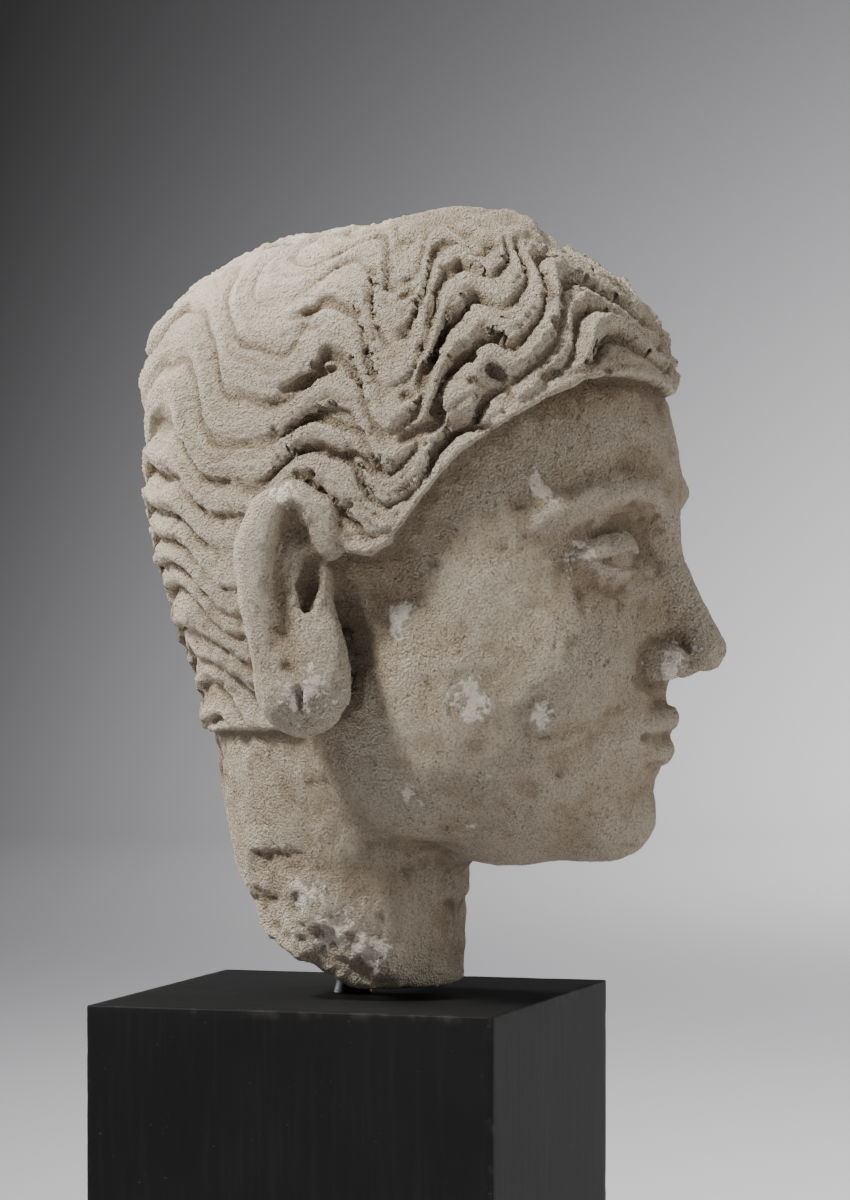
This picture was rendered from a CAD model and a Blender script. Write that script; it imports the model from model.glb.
import math

import bmesh
import bpy
import numpy as np
from mathutils import Matrix, Vector


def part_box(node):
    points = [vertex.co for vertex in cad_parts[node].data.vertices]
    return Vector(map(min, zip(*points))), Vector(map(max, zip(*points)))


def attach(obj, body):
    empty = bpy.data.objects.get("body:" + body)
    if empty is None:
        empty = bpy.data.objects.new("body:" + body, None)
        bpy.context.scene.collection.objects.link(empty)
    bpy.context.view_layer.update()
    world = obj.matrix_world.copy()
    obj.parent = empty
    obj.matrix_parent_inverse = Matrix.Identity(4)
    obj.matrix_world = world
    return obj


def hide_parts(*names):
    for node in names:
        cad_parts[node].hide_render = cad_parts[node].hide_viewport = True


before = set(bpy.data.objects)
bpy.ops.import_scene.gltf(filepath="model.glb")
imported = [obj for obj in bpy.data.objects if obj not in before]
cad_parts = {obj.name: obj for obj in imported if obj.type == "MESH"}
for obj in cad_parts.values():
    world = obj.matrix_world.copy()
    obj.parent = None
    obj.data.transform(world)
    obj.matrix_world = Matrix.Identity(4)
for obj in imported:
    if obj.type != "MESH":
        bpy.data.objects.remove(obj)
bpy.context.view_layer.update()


# The head is one piece of lime stucco with sand, modelled by hand while it was soft and pressed into locks.
# It has broken off at the neck and lost its top-knot. It is drilled from below, and the post holds it up.
# Below, points are in units of a millimetre: the chin is at Z 0, the face looks along -Y.

UNIT = 0.001
NECK_BREAK_Z = -47.0
POST_Y = 2.5
HEAD_ABOVE_BLOCK = 0.004
BLOCK_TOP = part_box("base_block")[1].z
HEAD_CENTRE = np.array([0.0, -20.0, 105.0])
EYE_X, EYE_Y, EYE_Z = 30.5, -102.0, 119.5
EYE_RADII = (18.5, 15.5, 12.5)
EYE_OPENING, EYE_OPENING_OUTWARD = 16.5, 1.2
UPPER_LID_RISE, LOWER_LID_DROP = 4.6, 3.0
UPPER_LID, LOWER_LID = 2.4, 1.8
LID_EDGE_SOFTNESS, EYE_SLANT, OPENING_DROP = 0.5, 0.04, 2.0
CLAY_VOXEL = 1.42
SMOOTHING_ROUNDS = 3
HEAD_TRIANGLES = 194000


def ball(points, centre, radii):
    """Distance from an ellipsoid, negative inside, as in the other shapes."""
    radii = np.array(radii, np.float32)
    offset = (points - np.array(centre, np.float32)) / radii
    near = np.sqrt((offset * offset).sum(axis=1))
    offset = offset / radii
    slope = np.sqrt((offset * offset).sum(axis=1))
    return near * (near - 1.0) / np.maximum(slope, 1e-9)


def roll(points, path, radii):
    """A round roll of changing thickness along a path of a few points."""
    best = None
    for a, b, ra, rb in zip(path[:-1], path[1:], radii[:-1], radii[1:]):
        a, b = np.array(a, np.float32), np.array(b, np.float32)
        along = b - a
        share = np.clip((points - a) @ along / (along @ along), 0.0, 1.0)
        gap = np.linalg.norm(points - a - share[:, None] * along, axis=1) - (ra + (rb - ra) * share)
        best = gap if best is None else np.minimum(best, gap)
    return best


def join(a, b, blend):
    """The two shapes together, with a fillet about as wide as blend."""
    overlap = np.maximum(blend - np.abs(a - b), 0.0) / blend
    return np.minimum(a, b) - overlap * overlap * blend / 4.0


def trim(a, b, blend):
    """What shapes a and b have in common."""
    return -join(-a, -b, blend)


def carve(a, b, blend):
    """Shape a with shape b cut out of it."""
    return trim(a, -b, blend)


def ease(value, low, high):
    """0 below low, 1 above high, and a smooth step between them."""
    share = np.clip((value - low) / (high - low), 0.0, 1.0)
    return share * share * (3.0 - 2.0 * share)


def grain(points, size, seed):
    """Smooth random relief from -1 to 1, with lumps about as big as size."""
    cell = points / size
    corner = np.floor(cell)
    share = cell - corner
    share = share * share * (3.0 - 2.0 * share)
    corner = corner.astype(np.int64)
    total = np.zeros(len(points))
    for dx in (0, 1):
        for dy in (0, 1):
            for dz in (0, 1):
                mixed = (
                    (corner[:, 0] + dx) * 73856093
                    ^ (corner[:, 1] + dy) * 19349663
                    ^ (corner[:, 2] + dz) * 83492791
                    ^ seed * 2654435761
                ) & 0xFFFFFFFF
                mixed = ((mixed ^ (mixed >> 15)) * 2246822519) & 0xFFFFFFFF
                mixed = ((mixed ^ (mixed >> 13)) * 3266489917) & 0xFFFFFFFF
                value = (mixed ^ (mixed >> 16)) / 0xFFFFFFFF * 2.0 - 1.0
                weight = (
                    (share[:, 0] if dx else 1.0 - share[:, 0])
                    * (share[:, 1] if dy else 1.0 - share[:, 1])
                    * (share[:, 2] if dz else 1.0 - share[:, 2])
                )
                total += value * weight
    return total.astype(np.float32)


def face_masses(m):
    """Skull, cheeks, jaw and chin. Here and below m holds points mirrored to one side."""
    form = ball(m, (0, -22, 151), (75, 105, 91))
    form = join(form, ball(m, (0, -61, 98), (68, 60, 92)), 14)
    form = join(form, ball(m, (0, -62, 47), (57, 54, 46)), 12)
    form = join(form, ball(m, (40, -34, 60), (26, 36, 46)), 14)
    form = join(form, ball(m, (0, -100, 19), (23, 18, 16.5)), 14)
    form = join(form, ball(m, (36, -90, 80), (24, 21, 27)), 14)
    return form


def brows(m, form):
    arch = [(9, -120.5, 136), (19, -122.5, 142.5), (32, -118.5, 145.5), (46, -107, 142), (58, -91, 133)]
    return join(form, roll(m, arch, [3.2, 3.5, 3.5, 3.2, 2.4]), 9)


def eyes(m, form):
    """A hollow under the brow, the ball in it, and two lids with a narrow opening between them."""
    form = carve(form, ball(m, (30, -129.5, 124), (23, 19, 14)), 8)
    offset = m - np.array([EYE_X, EYE_Y, EYE_Z])
    across = (offset[:, 0] - EYE_OPENING_OUTWARD) / EYE_OPENING
    arc = np.clip(1.0 - across * across, 0.0, 1.0)
    height = offset[:, 2] - EYE_SLANT * offset[:, 0]
    upper_edge = UPPER_LID_RISE * arc - OPENING_DROP
    lower_edge = -LOWER_LID_DROP * arc - OPENING_DROP
    upper_lid = ease(height, upper_edge - LID_EDGE_SOFTNESS, upper_edge + LID_EDGE_SOFTNESS)
    lower_lid = 1.0 - ease(height, lower_edge - LID_EDGE_SOFTNESS, lower_edge + LID_EDGE_SOFTNESS)
    lids = ball(m, (EYE_X, EYE_Y, EYE_Z), EYE_RADII) - UPPER_LID * upper_lid - LOWER_LID * lower_lid
    form = join(form, lids, 2.0)
    crease = [(16, -113, 125.5), (30, -116.5, 132.5), (46, -106.5, 128)]
    return carve(form, roll(m, crease, [0.8, 1.6, 0.8]), 2.0)


def nose(m, form):
    form = join(form, ball(m, (0, -112, 92), (15, 19, 25)), 10)
    bridge = roll(m, [(0, -118, 139), (0, -124, 118), (0, -133, 97), (0, -138, 84)], [8.0, 6.0, 6.8, 8.4])
    form = join(form, bridge, 7)
    form = join(form, ball(m, (12, -125, 79.5), (6.2, 10.5, 7.0)), 3.5)
    return carve(form, ball(m, (6.4, -133, 70.5), (3.3, 6.0, 4.2)), 1.8)


def mouth(m, form):
    form = join(form, ball(m, (0, -106, 52), (33, 17, 19)), 9)
    form = carve(form, roll(m, [(0, -130, 70), (0, -128, 61)], [2.4, 2.8]), 3)
    upper_path = [(0, -121.5, 55.4), (5, -122.5, 57.2), (14, -119.5, 55.4), (26, -110, 51.8)]
    upper = roll(m, upper_path, [4.2, 4.6, 4.0, 1.8])
    lower = roll(m, [(0, -120.5, 44.6), (10, -119, 45.2), (24, -110.5, 50)], [5.8, 5.2, 1.8])
    form = join(form, upper, 2.0)
    form = join(form, lower, 2.0)
    seam_path = [(0, -128, 50.6), (9, -126, 51.4), (18, -120.5, 50.9), (27, -111.5, 52.2)]
    return carve(form, roll(m, seam_path, [1.5, 1.5, 1.4, 0.8]), 1.4)


def neck(m, form):
    column = roll(m, [(0, 4, -80), (0, 4, 0), (0, 2, 70)], [45, 46.5, 56])
    return join(form, column, 9)


def ear(m, form):
    """Long lobed ear: a thick rim, two hollows, a broad band down to the lobe and a slit in it."""
    form = join(form, ball(m, (73, 4, 101), (11, 17, 44)), 6)
    rim_top = [(77, -13, 124), (78, -10, 136), (80, 0, 141), (82, 9, 136)]
    rim_back = [(84, 14, 122), (83.5, 13, 104), (81.5, 9, 86), (80, 2, 70)]
    form = join(form, roll(m, rim_top + rim_back, [5.5, 7.0, 8.0, 8.4, 8.4, 8.0, 8.0, 9.0]), 3.0)
    form = join(form, ball(m, (76.5, -3, 72), (9, 18, 20)), 6)
    form = join(form, ball(m, (75, -5, 84), (8, 13, 17)), 7)
    form = carve(form, ball(m, (88, -1, 130), (6, 4.5, 9)), 4)
    form = carve(form, roll(m, [(88, -2, 128), (86, -5, 114)], [3.2, 3.6]), 4)
    form = carve(form, roll(m, [(81, -7, 116), (79, -5, 108), (80, -5, 98)], [4.8, 4.2, 1.6]), 2.5)
    return carve(form, ball(m, (86, -4, 67), (5, 1.8, 4.5)), 1.5)


# The hair of the same piece: a cap of wavy locks laid round the head in rows, ending in a step at the brow.
# Places on it are given by turn, in degrees round from the middle of the forehead, and by height.

HAIR_AXIS_Y = -20.0
HAIR_WIDE, HAIR_DEEP, HAIR_TALL = 80.0, 105.5, 96.0
HAIR_CENTRE = (0.0, -25.0, 150.0)
HAIR_SQUARENESS = 2.4
HAIR_TURN = (0, 10, 20, 30, 40, 50, 60, 70, 78, 84, 90, 95, 100, 104, 110, 116, 150, 180)
HAIRLINE_Z = (180, 186, 187.5, 186, 179, 169.5, 158.5, 140.5, 124.5, 120, 122, 129, 140, 142, 100, 54, 52, 52)
ROW_TURN = (0, 10, 20, 30, 40, 50, 60, 70, 78, 84, 90, 96, 104, 120, 150, 180)
ROW_END_Z = (182, 186, 187.5, 186, 179, 169.5, 158.5, 142, 130, 126, 127, 132, 140, 142, 142, 142)
COUNT_TURN = (0, 21, 57, 92, 180)
ROW_COUNT = (10, 10, 7.2, 8, 8)
NAPE_ROW = 12.0
POLE_BASE_Z = 120.0
CREST_TURN = (0, 21, 56.5, 92, 150, 180)
CREST_COUNT = (-0.5, 0, 1, 2, 3, 3.5)
WAVE_ROUNDNESS = 0.5
WAVE_SWING = 0.68
CREST_RELIEF, TROUGH_RELIEF, STRAND_RELIEF = 5.6, 3.3, 1.3
FINE_STRAND_RELIEF = 0.35
UNDERCUT, CUT_WIDTH = 3.0, 0.13
LOCK_SAG = 1.6
STRANDS, FINE_STRANDS = 3, 7.0
CROWN_WEAR, CROWN_STRAND_WEAR = 0.6, 0.3
HAIRLINE_ROUNDING = 1.8
BAND_WIDTH, RIM_MIDDLE, RIM_HALF = 4.6, 1.7, 1.5


def turn_of(m):
    """Degrees round the head from the middle of the forehead."""
    return np.degrees(np.arctan2(np.abs(m[:, 0]), -(m[:, 1] - HAIR_AXIS_Y)))


def rows_of(p, m):
    """Row number from the crown down with the waves in it, how far up the wave is, and the nape's share."""
    turn = turn_of(m)
    reach = np.hypot(m[:, 0], m[:, 1] - HAIR_AXIS_Y)
    girth = 1.0 / np.hypot(np.sin(np.radians(turn)) / HAIR_WIDE, np.cos(np.radians(turn)) / HAIR_DEEP)
    down = np.arctan2(reach, m[:, 2] - POLE_BASE_Z)
    end_z = np.interp(turn, ROW_TURN, ROW_END_Z)
    end = np.arctan2(1.02 * girth, end_z - POLE_BASE_Z)
    rows = np.interp(turn, COUNT_TURN, ROW_COUNT)
    row = np.where(down < end, rows * down / end, rows + (down - end) * girth / NAPE_ROW)
    nape = ease(down - end, -0.1, 0.35)
    count = np.interp(turn, CREST_TURN, CREST_COUNT)
    crest = np.cos(2.0 * math.pi * count + 0.55 * grain(p, 36.0, 3))
    wave = crest * (1.0 + WAVE_ROUNDNESS * (1.0 - crest * crest))
    by_hairline = (1.0 - ease(rows - row, 0.2, 1.7)) * (1.0 - ease(turn, 84, 100))
    swing = WAVE_SWING * (1.0 - 0.75 * by_hairline) * (1.0 + 0.3 * grain(p, 44.0, 6))
    wander = (0.26 + 0.22 * nape) * grain(p, 27.0, 4) + (0.10 + 0.12 * nape) * grain(p, 12.0, 7)
    return row + swing * wave + wander, crest, nape


def lock_relief(p, m):
    """Height of the carved locks above the cap: a ridge to each row, finer strands and a cut under each."""
    row, crest, nape = rows_of(p, m)
    turn = turn_of(m)
    number = np.floor(row)
    share = row - number
    lock = grain(np.column_stack([7.3 * number, turn / 24.0, np.sign(p[:, 0])]), 1.0, 5)
    ridge = np.sin(math.pi * share**LOCK_SAG)
    strands = np.sin(STRANDS * math.pi * share**1.3) ** 2
    fine_strands = np.cos(2.0 * math.pi * FINE_STRANDS * share + 1.5 * grain(p, 15.0, 14))
    worn = ease(m[:, 2], 165, 230) * ease(turn, 62, 108)
    patchy = ease(grain(p, 21.0, 9), -0.3, 0.4)
    height = TROUGH_RELIEF + (CREST_RELIEF - TROUGH_RELIEF) * ease(crest, -0.7, 1.0)
    height = height * (1.0 - CROWN_WEAR * worn) * (1.0 - nape * (0.65 - 0.35 * patchy))
    height = height * (0.9 + 0.3 * grain(p, 30.0, 8))
    relief = height * ((1.0 + 0.5 * lock) * ridge - 0.6)
    strand_height = STRAND_RELIEF * (strands - 0.5) * (1.0 - CROWN_STRAND_WEAR * worn)
    relief += strand_height * (1.0 - 0.6 * nape) * (0.3 + 0.7 * patchy)
    relief += FINE_STRAND_RELIEF * fine_strands * (1.0 - 0.8 * nape)
    cut = np.exp(-((np.minimum(share, 1.0 - share) / CUT_WIDTH) ** 2))
    cut = UNDERCUT * cut * ease(crest, -1.2, 0.6) * patchy
    return relief - cut * (1.0 - CROWN_WEAR * worn) * (1.0 - 0.3 * nape)


def hair(p, m, form):
    """Cap of hair over the skull, ending in a thin rolled rim and a step at the hairline."""
    radii = np.array([HAIR_WIDE, HAIR_DEEP, HAIR_TALL])
    offset = np.abs(m - np.array(HAIR_CENTRE)) / radii
    near = (offset**HAIR_SQUARENESS).sum(axis=1) ** (1.0 / HAIR_SQUARENESS)
    cap = join((near - 1.0) * radii.mean(), ball(m, (0, 3, 185), (66, 83, 58)), 8)
    side = ball(m, (0, -14, 118), (76, 83, 76))
    nape = roll(m, [(0, 0, 105), (0, 5, 62)], [73, 57])
    turn = turn_of(m)
    below = (np.interp(turn, HAIR_TURN, HAIRLINE_Z) - m[:, 2]) * 0.8
    band = ease(below, -BAND_WIDTH - 1.2, -BAND_WIDTH + 0.6) * (1.0 - ease(turn, 82, 90))
    rim = 1.5 * np.exp(-(((below + RIM_MIDDLE) / RIM_HALF) ** 2)) - 0.9
    relief = lock_relief(p, m) * (1.0 - band) + rim * band
    cap = join(join(cap, side, 8), nape, 12) - relief
    cap = trim(cap, below, HAIRLINE_ROUNDING)
    return join(form, cap, 2.0)


def top_knot_stump(p, form):
    """What is left of the broken top-knot."""
    rough = 2.2 * grain(p, 14.0, 11) + 1.3 * grain(p, 6.0, 12)
    stump = ball(p, (0, -43, 232), (36, 36, 24)) + rough
    slope = (p[:, 2] - 252.5) - 0.1 * (-42.0 - p[:, 1]) + rough
    return join(form, trim(stump, slope, 4.0), 6.0)


def neck_break(p, form):
    """The broken neck: a blunt end, a slanting break up the back, side facets and a chip at the throat."""
    rough = 1.9 * grain(p, 15.0, 21) + 1.1 * grain(p, 6.5, 22) + 0.6 * grain(p, 3.2, 23)
    floor = (NECK_BREAK_Z - p[:, 2]) + np.maximum(rough, -0.2) * 0.9 + 0.3
    low_slant = (p[:, 1] - 5.0) * 0.578 - (p[:, 2] + 39.5) * 0.816 + rough
    high_slant = (p[:, 1] - 27.5) * 0.878 - (p[:, 2] + 23.0) * 0.48 + rough
    throat_chip = np.maximum(p[:, 1] + 39.5, p[:, 2] + 15.0) - rough
    form = carve(form, throat_chip, 4.0)
    for plane in (high_slant, low_slant, floor):
        form = trim(form, plane, 4.0)
    clear_of_jaw = FACET_FADE * np.maximum(p[:, 2] - FACET_TOP_Z, 0.0)
    for point, normal in NECK_FACETS:
        form = trim(form, (p - np.array(point)) @ np.array(normal) + rough - clear_of_jaw, 1.5)
    return form


# A point on each side facet of the broken neck, and the way that it faces. They fade out above the neck.
FACET_TOP_Z, FACET_FADE = 6.0, 3.0
NECK_FACETS = (
    ((-44.5, 12, -4), (-0.90, 0.42, -0.12)),
    ((-42.5, -4, -24), (-0.95, -0.02, -0.31)),
    ((-37.0, -20, -40), (-0.80, -0.30, -0.52)),
    ((43.0, 14, -12), (0.90, 0.36, -0.25)),
    ((38.0, -18, -34), (0.84, -0.26, -0.48)),
)


def scars(p, form):
    """The rough strip down the back, and knocks on the nose, the ears and the front of the hair."""
    rough = 0.8 * grain(p, 5.0, 41) + 0.5 * grain(p, 3.0, 44)
    back = ease(turn_of(p), 146, 160) * ease(p[:, 2], 18, 40) * (1.0 - ease(p[:, 2], 118, 142))
    form = form + back * (0.7 + 1.5 * grain(p, 7.0, 42) + 1.1 * grain(p, 3.6, 43))
    for centre, radii in KNOCKS:
        form = carve(form, ball(p, centre, radii) + 0.7 * rough, 1.0)
    return form


KNOCKS = (
    ((-5, -151, 86), (7, 5, 6)),
    ((2, -150, 78), (6, 5, 4)),
    ((-91, -12, 136), (4, 5, 5)),
    ((93, 14, 128), (4, 5, 8)),
    ((91, 6, 58), (5, 7, 5)),
    ((-14, -132, 188), (7, 5, 6)),
    ((22, -130, 187), (9, 5, 5)),
)


def weathering(p):
    """Low lumps and pits of the worn surface."""
    return 0.5 * grain(p, 21.0, 31) + 0.3 * grain(p, 8.0, 32)


def groove_gap(p, grooves):
    """Distance from the nearest tool cut, worked out only for the points near it."""
    gap = np.full(len(p), GROOVE_REACH)
    for path, radii in grooves:
        low, high = path.min(axis=0) - GROOVE_REACH, path.max(axis=0) + GROOVE_REACH
        near = np.flatnonzero(((p > low) & (p < high)).all(axis=1))
        gap[near] = np.minimum(gap[near], roll(p[near], path, radii))
    return gap + 0.4 * grain(p, 4.0, 51)


def worn_form(p, grooves=()):
    """Signed distance from the surface of the head, in units: the whole piece, without its bore."""
    p = p.astype(np.float32)
    m = np.column_stack([np.abs(p[:, 0]), p[:, 1], p[:, 2]])
    form = face_masses(m)
    form = brows(m, form)
    form = eyes(m, form)
    form = nose(m, form)
    form = mouth(m, form)
    form = neck(m, form)
    form = hair(p, m, form)
    if grooves:
        form = carve(form, groove_gap(p, grooves), 1.4)
    form = ear(m, form)
    form = top_knot_stump(p, form)
    form = form + weathering(p)
    return scars(p, neck_break(p, form))


# Deep cuts between locks, made with a tool in the soft stucco: places by turn and height, width and depth.
CUTS = (
    ([(108.7, 182), (102.6, 186), (94.2, 191)], 2.6, 3.2),
    ([(103.5, 160), (102.4, 171), (98, 175)], 2.2, 3.0),
    ([(102, 172), (94.9, 171), (85.2, 166)], 2.0, 2.4),
    ([(99.1, 151), (94, 157), (87.2, 158), (81.5, 151)], 2.0, 2.6),
    ([(94.4, 136), (88.5, 139)], 2.2, 2.5),
    ([(111.6, 210), (103.1, 213)], 2.0, 2.0),
    ([(111.4, 203), (99.5, 208)], 2.0, 1.8),
    ([(73.8, 218), (72.8, 219)], 3.0, 3.2),
    ([(74.1, 180), (70.9, 182), (61.3, 205)], 3.2, 3.5),
    ([(74.3, 164), (65.4, 170), (63.4, 184)], 3.0, 3.5),
    ([(63.4, 184), (56.8, 195), (50.4, 188), (48.1, 180)], 2.6, 3.5),
    ([(57.4, 186), (49.7, 178)], 2.4, 3.2),
    ([(61.4, 164), (53.3, 169)], 2.2, 3.0),
    ([(34.3, 207), (32.7, 203)], 4.0, 4.0),
    ([(40.5, 187), (37.2, 189)], 2.2, 2.5),
    ([(26, 190), (25, 190.5)], 2.0, 2.0),
    ([(18.9, 201), (17.9, 201)], 2.2, 2.6),
)
FAR_SIDE_TURN, FAR_SIDE_DROP = 2.5, 2.0
GROOVE_REACH = 8.0
FAR_OUT = 190.0
RAY_STEPS = 34


def traced(start, rays):
    """Points where rays from far out meet the uncut form, on their way in to the start of each ray."""
    reach = np.full(len(rays), FAR_OUT)
    moving = np.arange(len(rays))
    for _ in range(RAY_STEPS):
        gap = worn_form(start[moving] + rays[moving] * reach[moving, None])
        reach[moving] -= 0.75 * gap
        moving = moving[np.abs(gap) > 0.15]
        if not len(moving):
            break
    return start + rays * reach[:, None]


def tool_cuts():
    """Each cut as a path of points and its radii: all on the side of -X, every second one opposite too."""
    strokes = []
    for number, (places, width, depth) in enumerate(CUTS):
        strokes.append((-1.0, places, width, depth))
        if number % 2 == 0:
            moved = [(turn + FAR_SIDE_TURN, height - FAR_SIDE_DROP) for turn, height in places]
            strokes.append((1.0, moved, width, depth))
    flat = np.array([(side, turn, height) for side, places, _, _ in strokes for turn, height in places])
    angle = np.radians(flat[:, 1])
    rays = np.column_stack([flat[:, 0] * np.sin(angle), -np.cos(angle), np.zeros(len(angle))])
    start = np.column_stack([np.zeros(len(angle)), np.full(len(angle), HAIR_AXIS_Y), flat[:, 2]])
    surface = traced(start, rays)
    grooves, first = [], 0
    for _, places, width, depth in strokes:
        last = first + len(places)
        path = surface[first:last] + rays[first:last] * (width - depth)
        grooves.append((path, [0.7 * width] + [width] * (len(places) - 2) + [0.7 * width]))
        first = last
    return grooves


def mesh_points(mesh):
    flat = np.empty(len(mesh.vertices) * 3)
    mesh.vertices.foreach_get("co", flat)
    return flat.reshape(-1, 3)


def set_mesh_points(mesh, points):
    mesh.vertices.foreach_set("co", points.astype(np.float32).ravel())
    mesh.update()


def settle(points, grooves, most=3.0):
    """Moves points along the form's slope, in three steps, until they lie on its surface."""
    probe = 0.15
    gap = worn_form(points, grooves)
    slope = np.column_stack([worn_form(points + probe * axis, grooves) - gap for axis in np.eye(3)]) / probe
    slope /= np.maximum((slope * slope).sum(axis=1), 0.2)[:, None]
    points = points - slope * np.clip(gap, -most, most)[:, None]
    for _ in range(2):
        points = points - slope * np.clip(worn_form(points, grooves), -most, most)[:, None]
    return points


def clay_ball():
    """A sphere drawn in from outside until each point meets the form."""
    bm = bmesh.new()
    bmesh.ops.create_icosphere(bm, subdivisions=6, radius=1.0)
    mesh = bpy.data.meshes.new("clay")
    bm.to_mesh(mesh)
    bm.free()
    rays = mesh_points(mesh)
    rays /= np.linalg.norm(rays, axis=1)[:, None]
    set_mesh_points(mesh, traced(np.tile(HEAD_CENTRE, (len(rays), 1)), rays))
    return mesh


def point_normals(mesh):
    flat = np.empty(len(mesh.vertices) * 3, np.float32)
    mesh.vertices.foreach_get("normal", flat)
    return flat.reshape(-1, 3)


def applied(obj):
    """A mesh of the object as its modifiers leave it, which takes their place."""
    graph = bpy.context.evaluated_depsgraph_get()
    mesh = bpy.data.meshes.new_from_object(obj.evaluated_get(graph), depsgraph=graph)
    obj.modifiers.clear()
    obj.data = mesh
    return mesh


def smooth_mesh(mesh):
    """One round of evening out the spacing of the points."""
    bm = bmesh.new()
    bm.from_mesh(mesh)
    bmesh.ops.smooth_vert(
        bm, verts=bm.verts, factor=0.5, use_axis_x=True, use_axis_y=True, use_axis_z=True
    )
    bm.to_mesh(mesh)
    bm.free()


def sculpt(name):
    """The carved head as an even mesh, in units."""
    grooves = tool_cuts()
    obj = bpy.data.objects.new(name, clay_ball())
    bpy.context.scene.collection.objects.link(obj)
    remesh = obj.modifiers.new("even", "REMESH")
    remesh.mode = "VOXEL"
    remesh.voxel_size = CLAY_VOXEL
    mesh = applied(obj)
    for _ in range(SMOOTHING_ROUNDS):
        smooth_mesh(mesh)
        points = mesh_points(mesh)
        gap = np.clip(worn_form(points, grooves), -2.0, 2.0)
        set_mesh_points(mesh, points - point_normals(mesh) * gap[:, None])
    set_mesh_points(mesh, settle(mesh_points(mesh), grooves))
    triangles = sum(len(face.vertices) - 2 for face in mesh.polygons)
    if triangles > HEAD_TRIANGLES:
        thin = obj.modifiers.new("fewer_faces", "DECIMATE")
        thin.ratio = HEAD_TRIANGLES / triangles
        thin.use_collapse_triangulate = True
        mesh = applied(obj)
    return obj


def edge_pairs(mesh):
    pairs = np.empty(len(mesh.edges) * 2, np.int32)
    mesh.edges.foreach_get("vertices", pairs)
    return pairs.reshape(-1, 2)


def evened(values, pairs, rounds):
    """Values at the points of a mesh, each drawn towards the mean of its neighbours."""
    count = np.bincount(pairs.ravel(), minlength=len(values))[:, None]
    for _ in range(rounds):
        total = np.zeros_like(values)
        for column in range(values.shape[1]):
            total[:, column] = np.bincount(pairs[:, 0], values[pairs[:, 1], column], len(values))
            total[:, column] += np.bincount(pairs[:, 1], values[pairs[:, 0], column], len(values))
        values = 0.5 * values + 0.5 * total / count
    return values


def add_values(mesh, name, values):
    """A named number at each point of the mesh, for the materials."""
    attribute = mesh.attributes.new(name, "FLOAT", "POINT")
    attribute.data.foreach_set("value", np.clip(values, 0.0, 1.0).astype(np.float32))


def sand_relief(p):
    """Coarse sand and crumbs that stand out of the stucco, and a few pits between them."""
    crumbs = 0.40 * grain(p, 2.6, 61) + 0.2 * grain(p, 5.5, 62)
    pits = -0.6 * ease(grain(p, 4.4, 63), 0.45, 0.8)
    scratches = -0.8 * ease(grain(p * np.array([1.0, 0.45, 1.5]), 4.6, 64), 0.58, 0.8)
    return crumbs + pits + scratches


head = sculpt("stucco_head")
head_mesh = head.data
points = mesh_points(head_mesh)
normals = point_normals(head_mesh)
smoothness = ease(turn_of(points), 70, 130) * ease(points[:, 2], 110, 200)
points = points + normals * (sand_relief(points) * (1.0 - 0.7 * smoothness))[:, None]
set_mesh_points(head_mesh, points)


# Where the head is pale, dark or rubbed: ground lime shows as greyish white patches, high edges and the
# crown are rubbed cream, and earth has stayed in the hollows and on the broken strip down the back.

PALE_PATCHES = (
    ((-59, -92, 145), 9), ((-55, -104, 119), 10), ((-66, -39, 100), 8), ((-66, -36, 92), 5),
    ((-65, -64, 66), 12), ((-57, -91, 59), 8), ((-60, -39, 30), 6), ((-45, -62, 17), 5),
    ((-15, -133, 77), 12), ((-52, -72, 40), 5), ((-83, -7, 68), 14), ((-86, 1, 143), 8),
    ((-83, 13, 119), 9), ((-46, 9, -8), 10), ((-44, -3, -24), 12), ((-40, -17, -32), 11),
    ((-70, -47, 150), 9), ((60, -88, 90), 11), ((66, -50, 60), 12), ((84, 2, 72), 13),
    ((30, -112, 30), 8), ((46, 2, -18), 14), ((20, -120, 160), 9), ((70, -30, 180), 11),
    ((10, 78, 150), 15), ((-20, 40, 20), 10),
)


def near_patches(p, patches):
    """How near each point is to the middle of a patch, from 0 to 1."""
    best = np.zeros(len(p))
    for centre, reach in patches:
        gap = np.linalg.norm(p - np.array(centre), axis=1) / reach
        best = np.maximum(best, np.clip(1.3 - gap, 0.0, 1.0))
    return best


pairs = edge_pairs(head_mesh)
normals = point_normals(head_mesh)
own_form = evened(points, pairs, 2)
near_form = evened(own_form, pairs, 6)
wide_form = evened(near_form, pairs, 40)
narrow_hollow = ((near_form - own_form) * normals).sum(axis=1)
wide_hollow = ((wide_form - own_form) * normals).sum(axis=1)
turn = turn_of(points)
height = points[:, 2]
pole = ease(height, 165, 225) * ease(turn, 60, 110)
back_of_head = ease(turn, 105, 150) * ease(height, 90, 150)
in_hair = ease(height - np.interp(turn, HAIR_TURN, HAIRLINE_Z), -0.5, 1.5)
neck_side = (1.0 - ease(height, -26, -4)) * ease(np.abs(points[:, 0]), 20, 34)
cream = np.maximum(np.maximum(pole, 0.75 * back_of_head), np.maximum(0.4 * in_hair, 0.6 * neck_side))
rough_strip = ease(turn, 150, 162) * ease(height, 10, 34) * (1.0 - ease(height, 112, 128))
broken = 1.0 - ease(height + 0.9 * np.maximum(points[:, 1], 0.0), -46, -22)
broken = np.maximum(broken, ease(points[:, 1] - 0.5 * height, 36, 44) * (1.0 - ease(height, -5, 8)))
add_values(head_mesh, "hollow", (narrow_hollow / 0.5 + wide_hollow / 2.0) * (1.0 - 0.7 * broken))
add_values(head_mesh, "edge", -narrow_hollow / 0.3 - wide_hollow / 1.6)
add_values(head_mesh, "pale", near_patches(points, PALE_PATCHES))
add_values(head_mesh, "cream", cream)
add_values(head_mesh, "soil", rough_strip)
add_values(head_mesh, "broken", broken)


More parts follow.
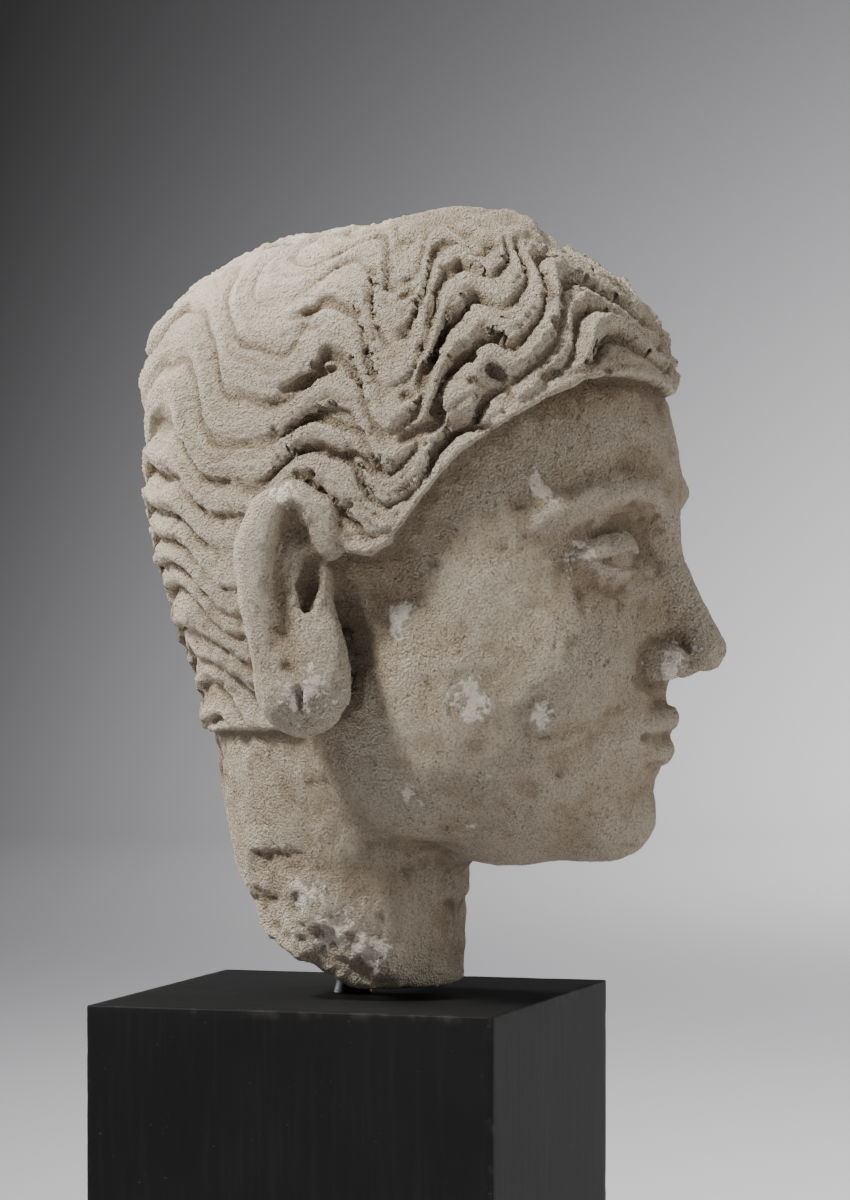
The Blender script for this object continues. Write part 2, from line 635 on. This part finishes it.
def turned(name, profile, steps=64):
    """A profile in X and Z turned round the Z axis, as a closed mesh."""
    bm = bmesh.new()
    points = [bm.verts.new((radius, 0.0, height)) for radius, height in profile]
    edges = [bm.edges.new(pair) for pair in zip(points[:-1], points[1:])]
    bmesh.ops.spin(
        bm, geom=points + edges, cent=(0, 0, 0), axis=(0, 0, 1), angle=2.0 * math.pi, steps=steps,
        use_merge=True,
    )
    bmesh.ops.remove_doubles(bm, verts=bm.verts, dist=0.00002)
    bmesh.ops.recalc_face_normals(bm, faces=bm.faces)
    mesh = bpy.data.meshes.new(name)
    bm.to_mesh(mesh)
    bm.free()
    mesh.shade_smooth()
    mesh.set_sharp_from_angle(angle=math.radians(50))
    return mesh


# The bore in the neck clears the post by a millimetre, and its mouth is broken wider.
BORE_TOP = NECK_BREAK_Z + 71.0
BORE_RADIUS, MOUTH_RADIUS = 6.3, 9.2
bore_outline = [
    (0.0, NECK_BREAK_Z - 6.0), (MOUTH_RADIUS, NECK_BREAK_Z - 6.0), (BORE_RADIUS, NECK_BREAK_Z + 9.0),
    (BORE_RADIUS, BORE_TOP), (0.0, BORE_TOP),
]
bore = turned("neck_bore", bore_outline, 48)
bore.transform(Matrix.Translation((0.0, POST_Y, 0.0)))
bore_cutter = bpy.data.objects.new("neck_bore", bore)
bpy.context.scene.collection.objects.link(bore_cutter)
drill = head.modifiers.new("bore", "BOOLEAN")
drill.operation = "DIFFERENCE"
drill.solver = "MANIFOLD"
drill.object = bore_cutter
head_mesh = applied(head)
bpy.data.objects.remove(bore_cutter)
head_mesh.transform(
    Matrix.Translation((0.0, 0.0, BLOCK_TOP + HEAD_ABOVE_BLOCK))
    @ Matrix.Scale(UNIT, 4)
    @ Matrix.Translation((0.0, -POST_Y, -NECK_BREAK_Z))
)
head_mesh.shade_smooth()


# Shader nodes, placed by the materials below.

def material_named(name):
    """A new material and its node tree, with the Principled shader in place."""
    material = bpy.data.materials.new(name)
    material.use_nodes = True
    return material, material.node_tree, material.node_tree.nodes["Principled BSDF"]


def put(tree, socket, value):
    """Joins an output to a socket, or sets a plain value on it."""
    if isinstance(value, bpy.types.NodeSocket):
        tree.links.new(value, socket)
    else:
        socket.default_value = value


def node(tree, kind, settings=None, **inputs):
    """A node with its settings and its named inputs. Spaces in a socket's name are written as _."""
    made = tree.nodes.new(kind)
    for key, value in (settings or {}).items():
        setattr(made, key, value)
    for key, value in inputs.items():
        put(tree, made.inputs[key.replace("_", " ")], value)
    return made


def sum_of(tree, operation, *values):
    """Math on one, two or three values."""
    made = tree.nodes.new("ShaderNodeMath")
    made.operation = operation
    for socket, value in zip(made.inputs, values):
        put(tree, socket, value)
    return made.outputs[0]


def between(tree, value, low, high, to_low=0.0, to_high=1.0):
    """A value's smooth place between low and high."""
    made = tree.nodes.new("ShaderNodeMapRange")
    made.interpolation_type = "SMOOTHSTEP"
    for name, number in (("From Min", low), ("From Max", high), ("To Min", to_low), ("To Max", to_high)):
        made.inputs[name].default_value = number
    put(tree, made.inputs["Value"], value)
    return made.outputs["Result"]


def blended(tree, factor, under, over, blend="MIX"):
    """One colour laid over another."""
    made = tree.nodes.new("ShaderNodeMix")
    made.data_type = "RGBA"
    made.blend_type = blend
    put(tree, made.inputs["Factor"], factor)
    colours = [socket for socket in made.inputs if socket.type == "RGBA"]
    put(tree, colours[0], under)
    put(tree, colours[1], over)
    return next(socket for socket in made.outputs if socket.type == "RGBA")


def noise(tree, place, scale, detail=3.0, roughness=0.55, distortion=0.0):
    """Cloudy noise from 0 to 1, with lumps about 1/scale of a metre across."""
    made = node(
        tree, "ShaderNodeTexNoise", Vector=place, Scale=scale, Detail=detail, Roughness=roughness,
        Distortion=distortion,
    )
    return made.outputs["Fac"]


def object_place(tree):
    return tree.nodes.new("ShaderNodeTexCoord").outputs["Object"]


def value_named(tree, name):
    made = tree.nodes.new("ShaderNodeAttribute")
    made.attribute_name = name
    return made.outputs["Fac"]


def colour(red, green, blue):
    """A colour given as it looks on a screen, from 0 to 255, as the shader's own numbers."""
    steps = [channel / 255.0 for channel in (red, green, blue)]
    return (*[s / 12.92 if s <= 0.04045 else ((s + 0.055) / 1.055) ** 2.4 for s in steps], 1.0)


def specks_group():
    """Scattered specks: a mask of small spots, more of them where the noise is thick."""
    group = bpy.data.node_groups.new("specks", "ShaderNodeTree")
    for name, kind in (("Place", "Vector"), ("Scale", "Float"), ("Share", "Float")):
        group.interface.new_socket(name, in_out="INPUT", socket_type="NodeSocket" + kind)
    group.interface.new_socket("Mask", in_out="OUTPUT", socket_type="NodeSocketFloat")
    start = group.nodes.new("NodeGroupInput")
    end = group.nodes.new("NodeGroupOutput")
    fine = noise(group, start.outputs["Place"], start.outputs["Scale"], 1.0, 0.5)
    broad_scale = sum_of(group, "MULTIPLY", start.outputs["Scale"], 0.11)
    broad = noise(group, start.outputs["Place"], broad_scale, 2.0, 0.6)
    level = sum_of(group, "ADD", fine, sum_of(group, "MULTIPLY", sum_of(group, "SUBTRACT", broad, 0.5), 0.5))
    above = sum_of(group, "SUBTRACT", level, sum_of(group, "SUBTRACT", 0.82, start.outputs["Share"]))
    put(group, end.inputs["Mask"], between(group, above, 0.0, 0.07))
    return group


SPECKS = specks_group()


def specks(tree, place, scale, share):
    made = tree.nodes.new("ShaderNodeGroup")
    made.node_tree = SPECKS
    put(tree, made.inputs["Place"], place)
    made.inputs["Scale"].default_value = scale
    made.inputs["Share"].default_value = share
    return made.outputs["Mask"]


def bumped(tree, height, depth, strength=1.0):
    """A normal for the shader from a height between 0 and 1 that stands for depth, in metres."""
    made = tree.nodes.new("ShaderNodeBump")
    made.inputs["Distance"].default_value = depth
    made.inputs["Strength"].default_value = strength
    put(tree, made.inputs["Height"], height)
    return made.outputs["Normal"]


SAND_DEPTH = 0.0055


def stucco_material():
    """Sandy lime stucco, warm to cream, with earth in its hollows and torn patches of bare lime."""
    material, tree, shader = material_named("stucco")
    place = object_place(tree)
    clouds = noise(tree, place, 26.0, 5.0, 0.62)
    tone = blended(tree, between(tree, clouds, 0.36, 0.66), colour(192, 171, 143), colour(219, 202, 176))
    warm = noise(tree, place, 61.0, 3.0, 0.6)
    tone = blended(tree, between(tree, warm, 0.52, 0.72, 0.0, 0.35), tone, colour(206, 180, 145))

    cream = value_named(tree, "cream")
    rubbed_cream = sum_of(tree, "MULTIPLY", cream, between(tree, warm, 0.34, 0.62, 0.35, 1.0))
    tone = blended(tree, rubbed_cream, tone, colour(236, 220, 196))
    rubbed = sum_of(tree, "MULTIPLY", value_named(tree, "edge"), 0.55)
    tone = blended(tree, rubbed, tone, colour(238, 225, 203))

    torn = sum_of(tree, "SUBTRACT", noise(tree, place, 150.0, 6.0, 0.75), 0.5)
    torn = sum_of(tree, "MULTIPLY", torn, 4.0)
    broken = sum_of(tree, "ADD", value_named(tree, "broken"), torn)
    tone = blended(tree, between(tree, broken, 0.75, 1.35, 0.0, 0.3), tone, colour(184, 165, 138))
    earth = sum_of(tree, "ADD", value_named(tree, "hollow"), sum_of(tree, "MULTIPLY", torn, 0.12))
    tone = blended(tree, between(tree, earth, 0.18, 1.0, 0.0, 0.55), tone, colour(120, 101, 79))
    soil = sum_of(tree, "ADD", value_named(tree, "soil"), torn)
    tone = blended(tree, between(tree, soil, 0.7, 1.2, 0.0, 0.7), tone, colour(100, 80, 59))

    lime = between(tree, sum_of(tree, "ADD", value_named(tree, "pale"), torn), 0.60, 0.78)
    grit = sum_of(tree, "MULTIPLY_ADD", cream, -0.6, 1.0)
    grit = sum_of(tree, "MULTIPLY", grit, sum_of(tree, "MULTIPLY_ADD", lime, -0.6, 1.0))
    sand = noise(tree, place, 1150.0, 3.0, 0.7)
    grains = node(tree, "ShaderNodeTexVoronoi", Vector=place, Scale=1050.0).outputs["Distance"]
    for mask, shade in (
        (between(tree, grains, 0.42, 0.75, 0.0, 0.28), colour(116, 98, 76)),
        (between(tree, sand, 0.50, 0.68, 0.0, 0.16), colour(244, 232, 212)),
        (between(tree, sand, 0.34, 0.50, 0.38, 0.0), colour(116, 98, 76)),
        (sum_of(tree, "MULTIPLY", specks(tree, place, 640.0, 0.14), 0.5), colour(88, 73, 56)),
        (sum_of(tree, "MULTIPLY", specks(tree, place, 300.0, 0.05), 0.3), colour(104, 88, 68)),
    ):
        tone = blended(tree, sum_of(tree, "MULTIPLY", mask, grit), tone, shade)
    tone = blended(tree, sum_of(tree, "MULTIPLY", lime, 0.62), tone, colour(232, 225, 209))
    put(tree, shader.inputs["Base Color"], tone)

    cracks = sum_of(tree, "ABSOLUTE", sum_of(tree, "SUBTRACT", noise(tree, place, 60.0, 3.0, 0.6, 0.4), 0.5))
    crack_here = between(tree, noise(tree, place, 80.0, 1.0, 0.5), 0.66, 0.70)
    crack = sum_of(tree, "MULTIPLY", between(tree, cracks, 0.0, 0.010, 1.0, 0.0), crack_here)
    lumps = noise(tree, place, 330.0, 2.0, 0.6)
    height = sum_of(tree, "ADD", sum_of(tree, "MULTIPLY", sand, 0.7), sum_of(tree, "MULTIPLY", lumps, 0.8))
    height = sum_of(tree, "SUBTRACT", height, sum_of(tree, "MULTIPLY", grains, 0.35))
    height = sum_of(tree, "SUBTRACT", height, sum_of(tree, "MULTIPLY", crack, 0.5))
    height = sum_of(tree, "MULTIPLY", height, grit)
    put(tree, shader.inputs["Normal"], bumped(tree, height, SAND_DEPTH))
    put(tree, shader.inputs["Roughness"], between(tree, sand, 0.3, 0.7, 0.86, 1.0))
    shader.inputs["Specular IOR Level"].default_value = 0.25
    return material


head_mesh.materials.clear()
head_mesh.materials.append(stucco_material())
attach(head, "root")
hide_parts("head")


# The post is a turned steel rod, blackened. Its foot flares out where it stands on the block, and its tail
# goes down into the block. The head sits on it by its own weight.

POST_RADIUS = 0.00525
FOOT_RADIUS = 0.0075
FOOT_HEIGHT = 0.0120
POST_CHAMFER = 0.0010
POST_IN_BLOCK = 0.040
FOOT_GAP = 0.0003
POST_TAIL = BLOCK_TOP - POST_IN_BLOCK
post_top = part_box("mounting_post")[1].z


def post_profile():
    """Outline of the rod from its top, down the flare of its foot, to its tail in the block."""
    inset = POST_RADIUS - POST_CHAMFER
    outline = [(0.0, post_top), (inset, post_top), (POST_RADIUS, post_top - POST_CHAMFER)]
    for step in range(13):
        share = step / 12
        flare = 1.0 - math.cos(share * math.pi / 2)
        radius = POST_RADIUS + (FOOT_RADIUS - POST_RADIUS) * flare
        outline.append((radius, BLOCK_TOP + FOOT_GAP + FOOT_HEIGHT * (1.0 - share)))
    outline += [(POST_RADIUS, BLOCK_TOP + FOOT_GAP), (POST_RADIUS, POST_TAIL + POST_CHAMFER)]
    return outline + [(inset, POST_TAIL), (0.0, POST_TAIL)]


def steel_material():
    """Blackened steel, turned, with a little dust on it."""
    material, tree, shader = material_named("blackened_steel")
    place = object_place(tree)
    stretch = node(tree, "ShaderNodeMapping", Vector=place, Scale=(1.0, 1.0, 7.0)).outputs["Vector"]
    turning = noise(tree, stretch, 160.0, 3.0)
    tone = blended(tree, between(tree, turning, 0.35, 0.7), colour(24, 24, 25), colour(40, 39, 38))
    dust = sum_of(tree, "MULTIPLY", specks(tree, place, 900.0, 0.12), 0.5)
    tone = blended(tree, dust, tone, colour(92, 86, 78))
    put(tree, shader.inputs["Base Color"], tone)
    put(tree, shader.inputs["Roughness"], between(tree, turning, 0.3, 0.7, 0.38, 0.6))
    put(tree, shader.inputs["Normal"], bumped(tree, turning, 0.0001, 0.5))
    shader.inputs["Metallic"].default_value = 0.7
    return material


post = bpy.data.objects.new("steel_post", turned("steel_post", post_profile()))
bpy.context.scene.collection.objects.link(post)
post.data.materials.append(steel_material())
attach(post, "root")
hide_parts("mounting_post")


# The block is wood, glued up at the corners and brushed matt black: across the top, down the sides.
# It is bored in the middle for the post's tail, and its edges are a little knocked and rubbed.

BLOCK_EDGE = 0.0007
BLOCK_CUTS = 46
EDGE_KNOCK = 0.00007
STROKE_DEPTH = 0.000012
block_low, block_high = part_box("base_block")


def block_mesh():
    size = block_high - block_low
    bm = bmesh.new()
    bmesh.ops.create_cube(
        bm, size=1.0, matrix=Matrix.Translation((block_low + block_high) / 2) @ Matrix.Diagonal((*size, 1.0))
    )
    bmesh.ops.bevel(
        bm, geom=bm.edges[:], offset=BLOCK_EDGE, offset_type="OFFSET", segments=3, profile=0.5,
        affect="EDGES", material=-1, clamp_overlap=True,
    )
    long_edges = [edge for edge in bm.edges if edge.calc_length() > 0.1]
    bmesh.ops.subdivide_edges(bm, edges=long_edges, cuts=BLOCK_CUTS, use_grid_fill=True)
    mesh = bpy.data.meshes.new("black_block")
    bm.to_mesh(mesh)
    bm.free()
    return mesh


def knock_edges(mesh):
    """Dents the edges of the block a little, and marks them for the paint."""
    places = mesh_points(mesh)
    low, high = np.array(block_low), np.array(block_high)
    inset = np.sort(np.minimum(places - low, high - places), axis=1)
    edge = 1.0 - ease(inset[:, 1], 0.0006, 0.0030)
    towards = (low + high) / 2 - places
    inward = towards / np.linalg.norm(towards, axis=1)[:, None]
    dents = 0.5 + 0.5 * grain(places * 1000.0, 7.0, 71)
    dents += 1.8 * ease(grain(places * 1000.0, 5.0, 72), 0.35, 0.8)
    places = places + inward * (EDGE_KNOCK * edge * dents)[:, None]
    set_mesh_points(mesh, places)
    add_values(mesh, "rubbed", edge)


def paint_material():
    """Matt black paint with its brush strokes, dust, and edges rubbed a little paler."""
    material, tree, shader = material_named("black_paint")
    place = object_place(tree)
    facing = node(tree, "ShaderNodeNewGeometry").outputs["Normal"]
    up = node(tree, "ShaderNodeSeparateXYZ", Vector=facing).outputs["Z"]
    on_top = between(tree, sum_of(tree, "ABSOLUTE", up), 0.6, 0.8)
    down_strokes = node(tree, "ShaderNodeMapping", Vector=place, Scale=(1.0, 1.0, 0.06)).outputs["Vector"]
    cross_strokes = node(tree, "ShaderNodeMapping", Vector=place, Scale=(1.0, 0.06, 1.0)).outputs["Vector"]
    on_sides = noise(tree, down_strokes, 420.0, 3.0, 0.6)
    across = noise(tree, cross_strokes, 420.0, 3.0, 0.6)
    mixed = tree.nodes.new("ShaderNodeMix")
    put(tree, mixed.inputs["Factor"], on_top)
    put(tree, mixed.inputs["A"], on_sides)
    put(tree, mixed.inputs["B"], across)
    strokes = mixed.outputs["Result"]
    clouds = noise(tree, place, 18.0, 3.0)
    tone = blended(tree, between(tree, clouds, 0.3, 0.7), colour(23, 23, 23), colour(27, 27, 26))
    tone = blended(tree, between(tree, strokes, 0.45, 0.75, 0.0, 0.10), tone, colour(56, 56, 56))
    dust = sum_of(tree, "MULTIPLY", specks(tree, place, 900.0, 0.03), 0.3)
    tone = blended(tree, dust, tone, colour(110, 108, 102))
    in_places = between(tree, noise(tree, place, 110.0), 0.5, 0.7)
    worn = sum_of(tree, "MULTIPLY", value_named(tree, "rubbed"), in_places)
    tone = blended(tree, sum_of(tree, "MULTIPLY", worn, 0.35), tone, colour(78, 77, 74))
    put(tree, shader.inputs["Base Color"], tone)
    put(tree, shader.inputs["Roughness"], between(tree, strokes, 0.3, 0.7, 0.56, 0.6))
    put(tree, shader.inputs["Normal"], bumped(tree, strokes, STROKE_DEPTH))
    shader.inputs["Specular IOR Level"].default_value = 0.12
    return material


block = bpy.data.objects.new("black_block", block_mesh())
bpy.context.scene.collection.objects.link(block)
knock_edges(block.data)
block.data.shade_smooth()
block.data.set_sharp_from_angle(angle=math.radians(40))
block.data.materials.append(paint_material())
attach(block, "root")
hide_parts("base_block")


# The studio: a pale floor that curves up into a wall all round, soft boxes above and to the left, weak ones
# elsewhere, one for the wall behind, and a camera that looks at the right cheek from two metres away.

CAMERA_AZIMUTH = math.radians(-72.95)
CAMERA_AWAY, CAMERA_ASIDE, CAMERA_ABOVE_BLOCK = 2.1726, 0.0281, 0.2025
CAMERA_LENS = 167.6
CAMERA_PITCH = math.radians(1.31)
FLOOR_FLAT, FLOOR_CURVE, WALL_TOP = 3.4, 2.6, 8.0
toward_camera = Vector((math.sin(CAMERA_AZIMUTH), -math.cos(CAMERA_AZIMUTH), 0.0))
to_right = Vector((-toward_camera.y, toward_camera.x, 0.0))


def studio_bowl():
    profile = [(0.0, 0.0), (FLOOR_FLAT, 0.0)]
    for step in range(1, 17):
        angle = step / 16 * math.pi / 2
        profile.append((FLOOR_FLAT + FLOOR_CURVE * math.sin(angle), FLOOR_CURVE * (1.0 - math.cos(angle))))
    profile.append((FLOOR_FLAT + FLOOR_CURVE, WALL_TOP))
    mesh = turned("studio", profile, 96)
    mesh.flip_normals()
    return mesh


def studio_material():
    """Pale grey, darker up the wall and to the camera's left."""
    material, tree, shader = material_named("studio_grey")
    place = object_place(tree)
    aside = node(tree, "ShaderNodeVectorMath", {"operation": "DOT_PRODUCT"}, Vector=place)
    aside.inputs[1].default_value = to_right
    near = node(tree, "ShaderNodeVectorMath", {"operation": "DOT_PRODUCT"}, Vector=place)
    near.inputs[1].default_value = toward_camera
    high = node(tree, "ShaderNodeSeparateXYZ", Vector=place).outputs["Z"]
    side = sum_of(tree, "MULTIPLY_ADD", aside.outputs["Value"], 1.33, 1.0)
    wall = sum_of(tree, "MULTIPLY", sum_of(tree, "EXPONENT", sum_of(tree, "MULTIPLY", high, -1.28)), 0.30)
    wall = sum_of(tree, "MULTIPLY", wall, sum_of(tree, "MAXIMUM", side, 0.28))
    closer = sum_of(tree, "MAXIMUM", sum_of(tree, "ADD", near.outputs["Value"], 3.4), 0.0)
    floor = sum_of(tree, "MULTIPLY", closer, 0.09)
    floor = sum_of(tree, "MULTIPLY", floor, sum_of(tree, "MAXIMUM", side, 0.6))
    level = sum_of(tree, "MINIMUM", sum_of(tree, "ADD", wall, floor), 0.86)
    grey = node(tree, "ShaderNodeCombineColor", Red=level, Green=level, Blue=level).outputs["Color"]
    put(tree, shader.inputs["Base Color"], blended(tree, 1.0, grey, colour(252, 251, 255), "MULTIPLY"))
    shader.inputs["Roughness"].default_value = 0.95
    shader.inputs["Specular IOR Level"].default_value = 0.1
    return material


studio = bpy.data.objects.new("studio", studio_bowl())
bpy.context.scene.collection.objects.link(studio)
studio.data.materials.append(studio_material())


def soft_light(name, place, aim, size, power, spread=180.0):
    """A square soft box: its place and the point it faces are given right, up and towards the camera."""
    def in_world(point):
        return to_right * point[0] + Vector((0.0, 0.0, point[1])) + toward_camera * point[2]

    lamp = bpy.data.lights.new(name, "AREA")
    lamp.size = size
    lamp.energy = power
    lamp.spread = math.radians(spread)
    light = bpy.data.objects.new(name, lamp)
    bpy.context.scene.collection.objects.link(light)
    light.location = in_world(place)
    light.rotation_mode = "QUATERNION"
    light.rotation_quaternion = (in_world(aim) - in_world(place)).to_track_quat("-Z", "Y")
    light.visible_camera = False
    return light


HEAD_MIDDLE = (0.0, 0.32, 0.0)
soft_light("key", (-1.28, 2.0, 0.6), HEAD_MIDDLE, 0.3, 84.0)
soft_light("back_left", (-1.74, 0.89, -1.22), HEAD_MIDDLE, 0.5, 44.0)
soft_light("top", (0.0, 2.4, -0.7), HEAD_MIDDLE, 1.0, 15.0)
soft_light("right", (2.17, 0.7, 0.0), HEAD_MIDDLE, 0.8, 2.0)
soft_light("front_right", (1.75, 1.2, 0.74), HEAD_MIDDLE, 0.8, 11.0)
soft_light("wall", (1.6, 2.6, -2.4), (0.9, 0.3, -4.6), 1.6, 110.0, 110.0)

sky = bpy.data.worlds.new("studio_air")
sky.use_nodes = True
sky.node_tree.nodes["Background"].inputs["Color"].default_value = (1.0, 1.0, 1.0, 1.0)
sky.node_tree.nodes["Background"].inputs["Strength"].default_value = 0.02
bpy.context.scene.world = sky

camera = bpy.data.objects.new("camera", bpy.data.cameras.new("camera"))
bpy.context.scene.collection.objects.link(camera)
camera.location = toward_camera * CAMERA_AWAY + to_right * CAMERA_ASIDE
camera.location.z = BLOCK_TOP + CAMERA_ABOVE_BLOCK
gaze = -toward_camera * math.cos(CAMERA_PITCH) - Vector((0.0, 0.0, math.sin(CAMERA_PITCH)))
camera.rotation_mode = "QUATERNION"
camera.rotation_quaternion = gaze.to_track_quat("-Z", "Y")
camera.data.lens = CAMERA_LENS
camera.data.clip_end = 60.0
bpy.context.scene.camera = camera
